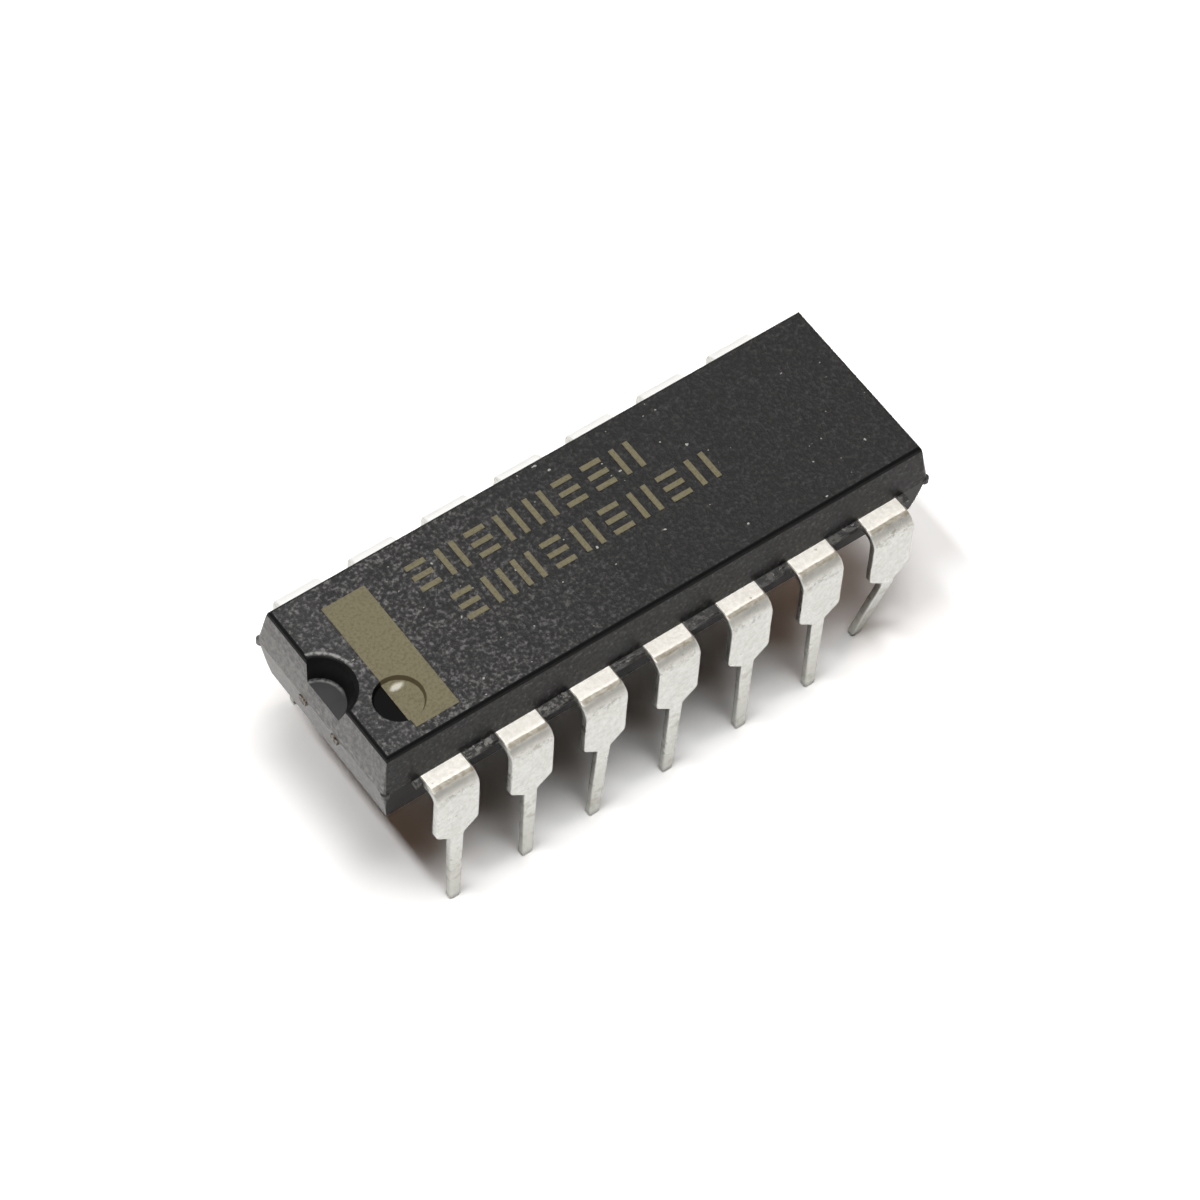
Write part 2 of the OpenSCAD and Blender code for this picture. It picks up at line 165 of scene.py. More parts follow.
# Darker on the flats below the top: the notch floor, the ledges and the underside
SUNK_TONE = (0.008, 0.008, 0.008, 1)
SCRATCH_TONE = grey(0.5)
CRUMB_TONE = (0.3, 0.29, 0.27, 1)
POLISHED_TONE = (0.004, 0.004, 0.004, 1)
# Painted highlight on the index notch's far rims
NOTCH_HIGHLIGHT_TONE = (0.36, 0.37, 0.36, 1)
INKED_RIM_TONE = (0.13, 0.105, 0.06, 1)
# Painted shade on the faces that look downwards
UNDER_WALL_PAINTED_SHADE = (0.007, 0.007, 0.007, 1)
THIN_FLASH_TONE = (0.24, 0.235, 0.22, 1)

# Tones of the leads
TIN_MOTTLE = (
    (0.3, (0.66, 0.665, 0.62, 1)),
    (0.5, (0.76, 0.765, 0.73, 1)),
    (0.7, (0.84, 0.845, 0.82, 1)),
)
STREAK_TONE = (0.62, 0.62, 0.58, 1)
# Darker along the bend, the near row far more than the far row, which difference is painted shade
LOW_BEND_DARK = (0.66, 0.63, 0.56, 1)
TOP_BEND_DARK = (0.21, 0.192, 0.152, 1)
# Shoulders: paler tones that are a painted sheen; their mottle is the tin's own
SHOULDER_SHEEN_LOW = (0.82, 0.805, 0.74, 1)
SHOULDER_SHEEN_HIGH = (0.93, 0.92, 0.87, 1)
CRUST_TONE = (0.2, 0.175, 0.13, 1)
PIT_TONE = (0.28, 0.26, 0.22, 1)
# Painted shade: the pins greyer towards the floor
PIN_PAINTED_SHADE = (0.56, 0.56, 0.51, 1)
PIN_STAIN = (0.4, 0.38, 0.32, 1)
# Painted shade at the tips, by the floor
TIP_PAINTED_SHADE = (0.3, 0.3, 0.29, 1)
# Painted shade: the inner faces brown
INNER_FACE_PAINTED_SHADE = (0.16, 0.13, 0.1, 1)
# Painted light: the far row's bends and tops near-white
FAR_ROW_PAINTED_LIGHT = (0.95, 0.955, 0.94, 1)

# Tones of the ink and of the pieces inside
INK_GRAIN = (
    (0.35, (0.138, 0.123, 0.071, 1)),
    (0.5, (0.18, 0.163, 0.096, 1)),
    (0.68, (0.192, 0.177, 0.109, 1)),
)
INK_THIN_TONE = (0.11, 0.1, 0.07, 1)
# Colour of the painted highlight in the dimple's ink
PAINTED_GLINT_TONE = (0.66, 0.65, 0.56, 1)
FRAME_LINES = ((0.3, (0.62, 0.6, 0.55, 1)), (0.7, (0.8, 0.78, 0.73, 1)))
CUT_END_RUST = ((0.4, (0.03, 0.022, 0.016, 1)), (0.62, (0.34, 0.3, 0.24, 1)))
GLUE_FLAKES = ((0.1, (0.55, 0.53, 0.5, 1)), (0.7, (0.32, 0.31, 0.29, 1)))
DIE_TRACKS = (
    (0.2, (0.07, 0.09, 0.14, 1)),
    (0.5, (0.16, 0.2, 0.22, 1)),
    (0.8, (0.55, 0.5, 0.42, 1)),
)
GOLD_DRAWN = ((0.3, (0.78, 0.52, 0.16, 1)), (0.7, (0.93, 0.68, 0.27, 1)))

# The camera, solved with the package's size from the corners and leads in the photo; angles in degrees
CAMERA_AZIMUTH = -39.5568
CAMERA_ELEVATION = 56.6585
CAMERA_ROLL = 4.4673
CAMERA_DISTANCE = 155.3689
CAMERA_TARGET_Z = 4.0
CAMERA_SLIDE = (0.1788, -0.1328)
LENS_MM = 162.275
SENSOR_MM = 36.0

# The studio: the floor's tone for light, in metal and to the camera, and the room's brightness in metal by
# height, from 0 at the horizon to 1 straight up, in front of the part and behind it
FLOOR_R_METRES = 3.0
PAPER_TONE = (0.74, 0.71, 0.68, 1)
MIRRORED_TONE = (0.97, 0.98, 0.98, 1)
SEEN_TONE = (1.24, 1.25, 1.25, 1)
FRONT_LEVELS = (
    (0.0, grey(0.95)),
    (0.27, grey(0.66)),
    (0.56, grey(0.5)),
    (0.78, grey(0.4)),
    (0.93, grey(0.25)),
)
BACK_LEVELS = ((0.0, grey(1.0)), (0.6, grey(1.0)), (0.8, grey(0.5)), (0.93, grey(0.25)))
FRONT_TO_BACK = (-0.2, 0.2)
FILL_TONE = (1.0, 0.5, 0.22, 1)
FILL_LEVEL = 0.009
BACKDROP_TONE = (1, 1, 1, 1)

# The lamps: name, tilts from the vertical and half spreads towards X and Y in degrees, share of the light on
# a level floor, turn in degrees, colour
LAMP_HEIGHT_METRES = 0.5
PLAIN_LIGHT = (1, 1, 1)
WARM_LIGHT = (1.0, 0.58, 0.36)
LAMPS = (
    ("lamp_left", (-18.3, 2), (1.9, 8), 0.34, 0.0, PLAIN_LIGHT),
    ("lamp_low_left", (-36, 6), (10, 14), 0.026, 0.0, WARM_LIGHT),
    ("lamp_low_right", (42, 0), (14, 14), 0.047, 0.0, WARM_LIGHT),
    ("lamp_middle", (-2, -6), (8.5, 10), 0.52, -30, PLAIN_LIGHT),
    ("lamp_right", (24, -2), (3.5, 8), 0.045, 0.0, PLAIN_LIGHT),
    ("lamp_back", (-1, 41), (7, 5), 0.05, 0.0, PLAIN_LIGHT),
)


class Nodes:
    """Adds and links the nodes of one tree; a value is a socket, a number or a colour."""

    def __init__(self, tree):
        """Starts from an empty tree."""
        self.tree = tree
        tree.nodes.clear()

    def add(self, kind):
        """A new node."""
        return self.tree.nodes.new(kind)

    def link(self, source, target):
        """Joins an output to an input."""
        self.tree.links.new(source, target)

    def put(self, value, socket):
        """Joins or sets an input."""
        if isinstance(value, bpy.types.NodeSocket):
            self.link(value, socket)
        else:
            socket.default_value = value

    def vector(self, operation, a, b=(0, 0, 0)):
        """Vector arithmetic; the length comes back as a number."""
        node = self.add("ShaderNodeVectorMath")
        node.operation = operation
        self.put(a, node.inputs[0])
        self.put(b, node.inputs[1])
        return node.outputs["Value" if operation == "LENGTH" else "Vector"]

    def math(self, operation, a, b=0.0, clamp=False):
        """Arithmetic on numbers."""
        node = self.add("ShaderNodeMath")
        node.operation = operation
        node.use_clamp = clamp
        self.put(a, node.inputs[0])
        self.put(b, node.inputs[1])
        return node.outputs[0]

    def both(self, a, b):
        """The product of two masks."""
        return self.math("MULTIPLY", a, b)

    def either(self, a, b):
        """The larger of two masks."""
        return self.math("MAXIMUM", a, b)

    def size(self, value):
        """A number without its sign."""
        return self.math("ABSOLUTE", value)

    def step(self, value, low, high, start=0.0, end=1.0):
        """A soft step between two levels of a value."""
        node = self.add("ShaderNodeMapRange")
        node.interpolation_type = "SMOOTHSTEP"
        self.put(value, node.inputs["Value"])
        node.inputs["From Min"].default_value = low
        node.inputs["From Max"].default_value = high
        node.inputs["To Min"].default_value = start
        node.inputs["To Max"].default_value = end
        return node.outputs["Result"]

    def fall(self, value, low, high):
        """A soft step from one down to zero."""
        return self.step(value, low, high, 1.0, 0.0)

    def mix(self, share, a, b, blend="MIX"):
        """Colour b laid over colour a."""
        node = self.add("ShaderNodeMix")
        node.data_type = "RGBA"
        node.blend_type = blend
        self.put(share, node.inputs["Factor"])
        self.put(a, node.inputs[6])
        self.put(b, node.inputs[7])
        return node.outputs[2]

    def ramp(self, value, stops):
        """A colour for each level of a value."""
        node = self.add("ShaderNodeValToRGB")
        self.link(value, node.inputs["Fac"])
        elements = node.color_ramp.elements
        while len(elements) < len(stops):
            elements.new(1.0)
        for element, (position, colour) in zip(elements, stops):
            element.position = position
            element.color = colour
        return node.outputs["Color"]


class Finish(Nodes):
    """One material of the object; its points are in millimetres in the object's own frame."""

    def __init__(self, name):
        """A new material with a plain shader, and the places and normals that its masks read."""
        self.material = bpy.data.materials.new(name)
        self.material.use_nodes = True
        super().__init__(self.material.node_tree)
        self.shader = self.add("ShaderNodeBsdfPrincipled")
        self.output = self.add("ShaderNodeOutputMaterial")
        self.link(self.shader.outputs["BSDF"], self.output.inputs["Surface"])
        source = self.add("ShaderNodeTexCoord")
        self.point = self.vector("MULTIPLY", source.outputs["Object"], (1 / MM, 1 / MM, 1 / MM))
        split = self.add("ShaderNodeSeparateXYZ")
        self.link(self.point, split.inputs[0])
        self.x, self.y, self.z = split.outputs
        facing = self.add("ShaderNodeSeparateXYZ")
        self.link(source.outputs["Normal"], facing.inputs[0])
        self.normal_x, self.normal_y, self.normal_z = facing.outputs

    def from_axis(self, x, y):
        """How far a point is from the upright line through x and y."""
        away = self.vector("SUBTRACT", self.point, (x, y, 0))
        return self.vector("LENGTH", self.vector("MULTIPLY", away, (1, 1, 0)))

    def noise(self, scale, detail=2.0, stretch=(1, 1, 1), roughness=0.5):
        """Noise with so many waves in a millimetre."""
        node = self.add("ShaderNodeTexNoise")
        self.link(self.vector("MULTIPLY", self.point, stretch), node.inputs["Vector"])
        node.inputs["Scale"].default_value = scale
        node.inputs["Detail"].default_value = detail
        node.inputs["Roughness"].default_value = roughness
        return node.outputs["Fac"]

    def cells(self, scale, stretch=(1, 1, 1), output="Distance"):
        """Cells, so many in a millimetre."""
        node = self.add("ShaderNodeTexVoronoi")
        self.link(self.vector("MULTIPLY", self.point, stretch), node.inputs["Vector"])
        node.inputs["Scale"].default_value = scale
        return node.outputs[output]

    def bump(self, height, depth_mm):
        """Fine relief, too small for the mesh."""
        node = self.add("ShaderNodeBump")
        node.inputs["Strength"].default_value = 1.0
        node.inputs["Distance"].default_value = depth_mm * MM
        self.link(height, node.inputs["Height"])
        self.link(node.outputs["Normal"], self.shader.inputs["Normal"])

    def set(self, **inputs):
        """Puts values on the shader's inputs; an underscore stands for a space."""
        for name, value in inputs.items():
            self.put(value, self.shader.inputs[name.replace("_", " ")])


# The finishes: bare numbers in them are waves in a millimetre, levels of a mask, or offsets in millimetres

def resin_finish():
    """Black moulding epoxy: grainy flats, polished edges, flash along the parting line, with painted light:
    end walls paled as a painted reflection, painted highlights on the notch rims and painted shade on the
    downward faces.
    """
    f = Finish("resin")
    fine = f.noise(8.5, 2.0, roughness=0.6)
    coarse = f.noise(3.6, 2.0)
    tilt = f.size(f.normal_z)
    flat = f.step(tilt, 0.9, 0.985)
    wall = f.fall(tilt, 0.2, 0.34)
    sideways = f.step(f.size(f.normal_x), 0.35, 0.95)
    # Faces that look downwards, away from the end walls: painted shade, and less gloss
    under = f.both(f.fall(f.normal_z, -0.12, -0.03), f.math("SUBTRACT", 1.0, sideways))
    grainy = grainy_share(f, flat)
    polished = polished_share(f, flat, wall)
    layers = (
        # The flats below the top made darker
        (f.step(f.z, TOP_Z - 0.5, TOP_Z - 0.3, 0.55, 0.0), SUNK_TONE),
        (wall, f.ramp(fine, RESIN_WALL)),
        # Painted reflection: the end walls paled
        (f.both(wall, sideways), end_wall_sheen(f)),
        (parting_crumbs(f), CRUMB_TONE),
        (polished, POLISHED_TONE),
        # Painted highlight on the notch rims
        (notch_rim_highlight(f, fine), NOTCH_HIGHLIGHT_TONE),
        (inked_rim(f), INKED_RIM_TONE),
        # Painted shade on the downward faces
        (under, UNDER_WALL_PAINTED_SHADE),
        (thin_flash(f), THIN_FLASH_TONE),
    )
    tone = f.mix(grainy, f.ramp(f.noise(0.7, 3.0), RESIN_SMOOTH), grainy_resin(f, fine, coarse))
    for share, layer_tone in layers:
        tone = f.mix(share, tone, layer_tone)
    gloss = f.step(f.either(polished, under), 0.0, 1.0, 0.34, 0.08)
    f.set(Base_Color=tone, Metallic=0.0, IOR=1.5, Specular_IOR_Level=gloss)
    f.set(Roughness=f.mix(grainy, grey(0.36), grey(0.6)))
    depth = f.math("ADD", f.both(grainy, 0.9), 0.1)
    f.bump(f.both(f.math("ADD", fine, f.both(coarse, 0.6)), depth), 0.05)
    return f.material


def grainy_share(f, flat):
    """Where the mould left its grain: the top and the underside, a little less by the notched end."""
    high = f.step(f.z, TOP_Z - 0.03, TOP_Z - 0.01)
    low = f.fall(f.z, UNDERSIDE_Z + 0.01, UNDERSIDE_Z + 0.03)
    return f.both(f.both(flat, f.either(high, low)), f.step(f.x, -8.15, -7.9, 0.85, 1.0))


def grainy_resin(f, fine, coarse):
    """The grain with its pale specks, lighter towards the notched end and darker towards the other."""
    grain = f.mix(1.0, f.ramp(fine, RESIN_GRAIN), f.ramp(coarse, RESIN_BLOOM), "MULTIPLY")
    grain = f.mix(1.0, grain, f.ramp(f.step(f.x, -8.6, 2.0), RESIN_ALONG_X), "MULTIPLY")
    return f.mix(f.step(f.noise(6.0, 0.0), 0.83, 0.86), grain, SPECK_TONE)


def polished_share(f, flat, wall):
    """The rounded edges above the parting line, and the dimple's wall."""
    edge = f.math("SUBTRACT", f.math("SUBTRACT", 1.0, flat), wall, True)
    edge = f.both(edge, f.step(f.z, LEAD_TOP_Z + 0.12, LEAD_TOP_Z + 0.3))
    in_dimple = f.both(f.step(f.z, TOP_Z - 0.2, TOP_Z - 0.18), f.fall(f.z, TOP_Z - 0.05, TOP_Z - 0.02))
    return f.either(edge, in_dimple)


def from_parting(f):
    """How far a point is above or below the parting line."""
    return f.size(f.math("SUBTRACT", f.z, LEAD_TOP_Z))


def end_wall_sheen(f):
    """The end walls paled as a painted reflection of the bright floor, with their own mottle, and scratched
    near the parting line.
    """
    wall_sheen = f.ramp(f.noise(6.0, 4.0, roughness=0.65), END_WALL_SHEEN)
    scratches = f.step(f.noise(7.0, 3.0, (1, 0.3, 2.5), 0.7), 0.56, 0.66)
    near_line = f.step(from_parting(f), 0.08, 0.45, 0.9, 0.0)
    return f.mix(f.both(scratches, near_line), wall_sheen, SCRATCH_TONE)


def parting_crumbs(f):
    """Torn bits along the parting line."""
    line = f.fall(from_parting(f), 0.03, 0.09)
    return f.both(f.both(line, f.step(f.noise(7.0, 3.0, roughness=0.7), 0.6, 0.68)), 0.8)


def thin_flash(f):
    """The thin flash that stands out between the leads, palest by lead 1."""
    proud = f.step(f.size(f.y), WALL_Y + 0.01, WALL_Y + 0.04)
    patchy = f.step(f.noise(5.0, 3.0, roughness=0.7), 0.46, 0.6)
    return f.both(f.both(proud, patchy), f.step(f.x, -6.5, 0.0, 0.85, 0.35))


def notch_rim_highlight(f, fine):
    """Painted highlights on the rims of the index notch, at the top and at its floor, on the far side."""
    radius = f.from_axis(-END_X, 0)
    ring_out = f.fall(radius, NOTCH_R + 0.2, NOTCH_R + 0.25)
    ring = f.both(f.step(radius, NOTCH_R + 0.13, NOTCH_R + 0.17), ring_out)
    rim = f.both(ring, f.both(f.step(f.y, 0.0, 0.35), f.step(f.z, TOP_Z - 0.02, TOP_Z - 0.01)))
    floor_ring = f.step(radius, NOTCH_FLOOR_R - 0.1, NOTCH_FLOOR_R - 0.05)
    floor_ring = f.both(floor_ring, f.fall(f.z, TOP_Z - 0.72, TOP_Z - 0.68))
    floor_rim = f.both(floor_ring, f.step(f.y, -0.3, 0.2, 0.0, 0.55))
    return f.both(f.either(rim, floor_rim), f.step(fine, 0.35, 0.55, 0.25, 0.8))


def inked_rim(f):
    """The dimple's wall where the stripe runs down it."""
    rim = f.both(f.step(f.z, TOP_Z - 0.17, TOP_Z - 0.15), f.fall(f.z, TOP_Z, TOP_Z + 0.01))
    inside = f.fall(f.from_axis(DIMPLE_X, DIMPLE_Y), DIMPLE_RIM_R, DIMPLE_RIM_R + 0.02)
    under_stripe = f.both(f.step(f.x, STRIPE_LEFT_X - 0.01, STRIPE_LEFT_X + 0.02), inside)
    return f.both(rim, under_stripe)


def lead_finish():
    """Dipped tin: satin and mottled, darker along the bend, with painted light: a pale sheen on the
    shoulders, the far row's tops near-white, and painted shade on the near row's bend, on the pins towards
    the tips and on the inner faces.
    """
    f = Finish("lead_tin")
    mottle = f.noise(7.0, 4.0, roughness=0.6)
    far_row = f.step(f.y, 0.0, 1.0)
    bend_top = f.both(f.fall(f.normal_z, 0.975, 0.9995), f.step(f.normal_z, 0.83, 0.92))
    shoulder = f.both(f.step(f.normal_z, 0.98, 0.9995), f.step(f.z, LEAD_TOP_Z - 0.15, LEAD_TOP_Z - 0.05))
    crust = bend_crust(f)
    tone = f.ramp(mottle, TIN_MOTTLE)
    tone = f.mix(f.step(f.noise(2.2, 3.0, (3.0, 3.0, 0.7)), 0.45, 0.75, 0.0, 0.3), tone, STREAK_TONE)
    # Darker along the bend, with painted shade on the near row
    tone = darkened_bend(f, tone, bend_top, mottle)
    # Painted sheen: the shoulders made paler
    tone = f.mix(shoulder, tone, f.mix(f.step(mottle, 0.35, 0.65), SHOULDER_SHEEN_LOW, SHOULDER_SHEEN_HIGH))
    # Stains, and painted shade on the pins and the inner faces
    tone = stained_and_shaded_blade(f, tone, crust)
    # Painted light: the far row's bends and tops near-white, as if lit
    tone = f.mix(f.both(far_row, f.step(f.normal_z, 0.3, 0.6)), tone, FAR_ROW_PAINTED_LIGHT)
    far_top_painted_light = f.both(far_row, f.step(f.normal_z, 0.8, 0.95))
    # Less metallic on the shoulders and the far row's tops, for their painted light
    metal = f.both(f.step(shoulder, 0.0, 1.0, 1.0, 0.45), f.step(far_top_painted_light, 0.0, 1.0, 1.0, 0.25))
    satin = f.math("ADD", f.step(f.noise(1.3, 3.0), 0.3, 0.7, 0.27, 0.35), f.both(crust, 0.2))
    satin = f.math("ADD", satin, f.both(f.either(shoulder, bend_top), 0.2))
    f.set(Base_Color=tone, Metallic=metal, Roughness=satin)
    f.bump(f.math("ADD", mottle, f.both(crust, -0.4)), 0.012)
    return f.material


def bend_crust(f):
    """Rough patches in a band under the bend."""
    band = f.both(
        f.step(f.z, LEAD_TOP_Z - 0.6, LEAD_TOP_Z - 0.4),
        f.fall(f.z, LEAD_TOP_Z - 0.3, LEAD_TOP_Z - 0.15),
    )
    return f.both(f.step(f.noise(5.0, 3.0, (1, 1, 1.6), 0.7), 0.5, 0.62), band)


def darkened_bend(f, tone, bend_top, mottle):
    """Darker along the bend; the near row far darker than the far row, which difference is painted shade."""
    # One on the near row, little on the far row: this difference is painted shade
    shaded_near_row = f.step(f.y, -0.5, 0.5, 1.0, 0.15)
    bend_low = f.both(f.fall(f.normal_z, 0.85, 0.92), f.step(f.normal_z, 0.3, 0.7))
    tone = f.mix(f.both(bend_low, f.both(shaded_near_row, 0.6)), tone, LOW_BEND_DARK)
    darker_bend_top = f.both(bend_top, f.both(shaded_near_row, f.step(mottle, 0.3, 0.7, 1.0, 0.8)))
    return f.mix(darker_bend_top, tone, TOP_BEND_DARK)


def stained_and_shaded_blade(f, tone, crust):
    """Crust, pits and stains on the blade and pin, with painted shade greying the pin towards the floor,
    darkest at the tip, and painting the inner face brown.
    """
    pits = f.step(f.noise(3.4, 1.5), 0.73, 0.76)
    stain = f.both(f.step(f.noise(2.6, 3.0), 0.52, 0.66), f.fall(f.z, 2.6, 3.4))
    outwards = f.both(f.normal_y, f.step(f.y, -0.5, 0.5, -1.0, 1.0))
    layers = (
        (f.both(crust, 0.3), CRUST_TONE),
        (f.both(pits, 0.55), PIT_TONE),
        # Painted shade: the pin greyer towards the floor
        (f.both(f.fall(f.z, 0.9, 3.5), 0.7), PIN_PAINTED_SHADE),
        (f.both(stain, 0.5), PIN_STAIN),
        # Painted shade at the tip
        (f.step(f.z, 0.03, 0.3, 0.55, 0.0), TIP_PAINTED_SHADE),
        # Painted shade: the inner face brown
        (f.step(outwards, -0.9, -0.6, 0.95, 0.0), INNER_FACE_PAINTED_SHADE),
    )
    for share, layer_tone in layers:
        tone = f.mix(share, tone, layer_tone)
    return tone


def ink_finish():
    """Khaki marking ink over the resin's grain, thin and slightly worn, with a painted highlight in the
    dimple.
    """
    f = Finish("ink")
    fine = f.noise(11.0, 2.5, roughness=0.6)
    cloud = f.noise(1.5, 3.0)
    tone = f.mix(f.step(cloud, 0.55, 0.8, 0.0, 0.35), f.ramp(fine, INK_GRAIN), INK_THIN_TONE)
    # Painted highlight: a pale oval laid into the ink's colour in the dimple
    away = f.vector("MULTIPLY", f.vector("SUBTRACT", f.point, PAINTED_GLINT_POINT), (0.75, 1.5, 1))
    glint_reach = f.math("ADD", f.vector("LENGTH", away), f.both(fine, 0.16))
    tone = f.mix(f.step(glint_reach, 0.16, 0.3, 0.9, 0.0), tone, PAINTED_GLINT_TONE)
    f.set(Base_Color=tone, Metallic=0.0, Specular_IOR_Level=0.3)
    f.set(Roughness=f.ramp(cloud, ((0.3, grey(0.45)), (0.7, grey(0.6)))))
    f.bump(fine, 0.015)
    return f.material


def frame_finish():
    """The spot-plated frame inside: rolled sheet with lengthwise lines, rusty where the tie bars are cut."""
    f = Finish("frame_silver")
    lines = f.noise(5.0, 3.0, (0.3, 4.0, 4.0))
    cut_end = f.step(f.size(f.x), END_X - 0.125, END_X - 0.075)
    tone = f.mix(cut_end, f.ramp(lines, FRAME_LINES), f.ramp(f.noise(9.0, 2.0), CUT_END_RUST))
    f.set(Base_Color=tone, Metallic=1.0, Roughness=f.ramp(lines, ((0.3, grey(0.28)), (0.7, grey(0.42)))))
    f.bump(lines, 0.004)
    return f.material


def glue_finish():
    """Silver-filled glue under the die."""
    f = Finish("die_glue")
    flakes = f.cells(22.0)
    rough = f.ramp(flakes, ((0.1, grey(0.4)), (0.7, grey(0.6))))
    f.set(Base_Color=f.ramp(flakes, GLUE_FLAKES), Metallic=0.4, Roughness=rough)
    f.bump(flakes, 0.008)
    return f.material


def silicon_finish():
    """The die: blue-grey silicon with a pattern of metal tracks on its top."""
    f = Finish("silicon")
    split = f.add("ShaderNodeSeparateColor")
    f.link(f.cells(7.0, (1, 1, 0.01), "Color"), split.inputs[0])
    rough = f.ramp(split.outputs[1], ((0.2, grey(0.18)), (0.8, grey(0.35))))
    f.set(Base_Color=f.ramp(split.outputs[0], DIE_TRACKS), Metallic=0.7, Roughness=rough)
    return f.material


def gold_finish():
    """Drawn gold wire."""
    f = Finish("gold_wire")
    drawn = f.noise(9.0, 2.0)
    rough = f.ramp(drawn, ((0.3, grey(0.16)), (0.7, grey(0.3))))
    f.set(Base_Color=f.ramp(drawn, GOLD_DRAWN), Metallic=1.0, Roughness=rough)
    return f.material


FINISHES = {
    "resin": resin_finish(),
    "lead_tin": lead_finish(),
    "frame_silver": frame_finish(),
    "die_glue": glue_finish(),
    "silicon": silicon_finish(),
    "gold_wire": gold_finish(),
    "ink": ink_finish(),
}


def dress_nodes():
    """Puts the finishes on the part's own nodes, by the names of their material slots."""
    for node in nodes.values():
        for material_slot in node.material_slots:
            material_slot.material = FINISHES[material_slot.material.name.split(".")[0]]


def finish_piece(name, shape, slot_name):
    """A smooth-shaded piece of the object from its mesh, dressed and riding on the part's one body."""
    mesh = bpy.data.meshes.new(name)
    shape.to_mesh(mesh)
    shape.free()
    mesh.shade_smooth()
    mesh.set_sharp_from_angle(angle=SHARP_ANGLE)
    mesh.materials.append(FINISHES[slot_name])
    piece = bpy.data.objects.new(name, mesh)
    bpy.context.scene.collection.objects.link(piece)
    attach(piece, "root")
    return piece


# The leads

def arc_corner(before, corner, after, radius):
    """The points of the arc that rounds one corner of an outline."""
    back = (before - corner).normalized()
    on = (after - corner).normalized()
    half = back.angle(on) / 2
    centre = corner + (back + on).normalized() * (radius / math.sin(half))
    start = corner + back * (radius / math.tan(half)) - centre
    end = corner + on * (radius / math.tan(half)) - centre
    first = math.atan2(start.y, start.x)
    turn = (math.atan2(end.y, end.x) - first + math.pi) % (2 * math.pi) - math.pi
    points = []
    for k in range(CORNER_STEPS + 1):
        angle = first + turn * k / CORNER_STEPS
        points.append(centre + Vector((math.cos(angle), math.sin(angle))) * radius)
    return points


def blade_edge(end_z):
    """The blade's right edge as (half width, height), from the bend down to the tip."""
    corners = [
        Vector((BLADE_HALF, BEND_Z)),
        Vector((BLADE_HALF, BLADE_Z)),
        Vector((PIN_HALF, NECK_Z)),
        Vector((TIP_HALF, end_z)),
        Vector((0.0, end_z)),
    ]
    edge = [corners[0]]
    for k, radius in ((1, BLADE_CORNER_R), (2, NECK_R), (3, TIP_R)):
        edge += arc_corner(corners[k - 1], corners[k], corners[k + 1], radius)
    return edge


def between(points, height):
    """The half width at a height, along an edge whose heights fall."""
    for upper, lower in zip(points, points[1:]):
        if lower.y <= height <= upper.y and upper.y > lower.y:
            share = (upper.y - height) / (upper.y - lower.y)
            return upper.x + (lower.x - upper.x) * share
    return points[-1].x if height < points[-1].y else points[0].x


def pin_path(bent):
    """The middle line below the bend: a function from the distance down to the place and outward normal."""
    y = BEND_Y + BEND_OUTER_R - HALF_T
    straight = BEND_Z - BENT_KINK_Z
    bend_length = BENT_R * BENT_ANGLE

    def at(distance):
        """The place and outward normal so far down."""
        if not bent or distance <= straight:
            return Vector((y, BEND_Z - distance)), Vector((1, 0))
        angle = min(distance - straight, bend_length) / BENT_R
        rest = max(0.0, distance - straight - bend_length)
        place = Vector((y - BENT_R + BENT_R * math.cos(angle), BENT_KINK_Z - BENT_R * math.sin(angle)))
        place += Vector((-math.sin(angle), -math.cos(angle))) * rest
        return place, Vector((math.cos(angle), -math.sin(angle)))

    return at


def section_drops(edge):
    """How far below the bend the blade and pin have their sections."""
    wanted = [BEND_Z - point.y for point in edge]
    wanted += BLADE_SECTIONS
    wanted += [BEND_Z - NECK_Z + step for step in PIN_SECTIONS]
    drops = []
    for drop in sorted(set(wanted)):
        if not drops or drop - drops[-1] >= LEAST_STEP:
            drops.append(drop)
    return drops


def bend_stations():
    """Sections of the shoulder and the bend, as lead_stations gives them."""
    stations = []
    for y in SHOULDER_SECTIONS:
        stations.append((Vector((y, MID_Z)), Vector((0, 1)), BLADE_HALF, 0.0, 1.0))
    for k in range(1, BEND_STEPS):
        angle = math.pi / 2 * k / BEND_STEPS
        normal = Vector((math.sin(angle), math.cos(angle)))
        middle = Vector((BEND_Y, BEND_Z)) + normal * (BEND_OUTER_R - HALF_T)
        stations.append((middle, normal, BLADE_HALF, 0.0, 1.0))
    return stations


def lead_stations(lean, bent):
    """Sections from the wall to the tip.

    Each is the middle as (y, z), the outward normal, the half width, the shift sideways and the share of
    the thickness.
    """
    stations = bend_stations()
    at = pin_path(bent)
    end_place, end_normal = at(BEND_Z)
    end_z = end_place.y + (HALF_T * end_normal.y if bent else 0.0)
    edge = blade_edge(end_z)
    for drop in section_drops(edge):
        place, normal = at(drop if not bent else BEND_Z * drop / (BEND_Z - end_z))
        shift = lean * max(0.0, (NECK_Z - place.y) / (NECK_Z - end_z))
        to_tip = max(0.0, BEND_Z - end_z - drop)
        rounding = math.sqrt(1 - (1 - min(1.0, to_tip / TIP_EDGE_R)) ** 2)
        thickness = TIP_THIN_SHARE + (1 - TIP_THIN_SHARE) * rounding
        stations.append((place, normal, between(edge, BEND_Z - drop), shift, thickness))
    return stations


def rim_profile(edge_r, half_t):
    """A softened edge from the outer face to the inner one, as (inset from the outline, height)."""
    profile = []
    for k in range(EDGE_STEPS + 1):
        angle = math.pi / 2 * k / EDGE_STEPS
        profile.append((edge_r * (1 - math.sin(angle)), half_t - edge_r * (1 - math.cos(angle))))
    return profile + [(inset, -height) for inset, height in reversed(profile)]


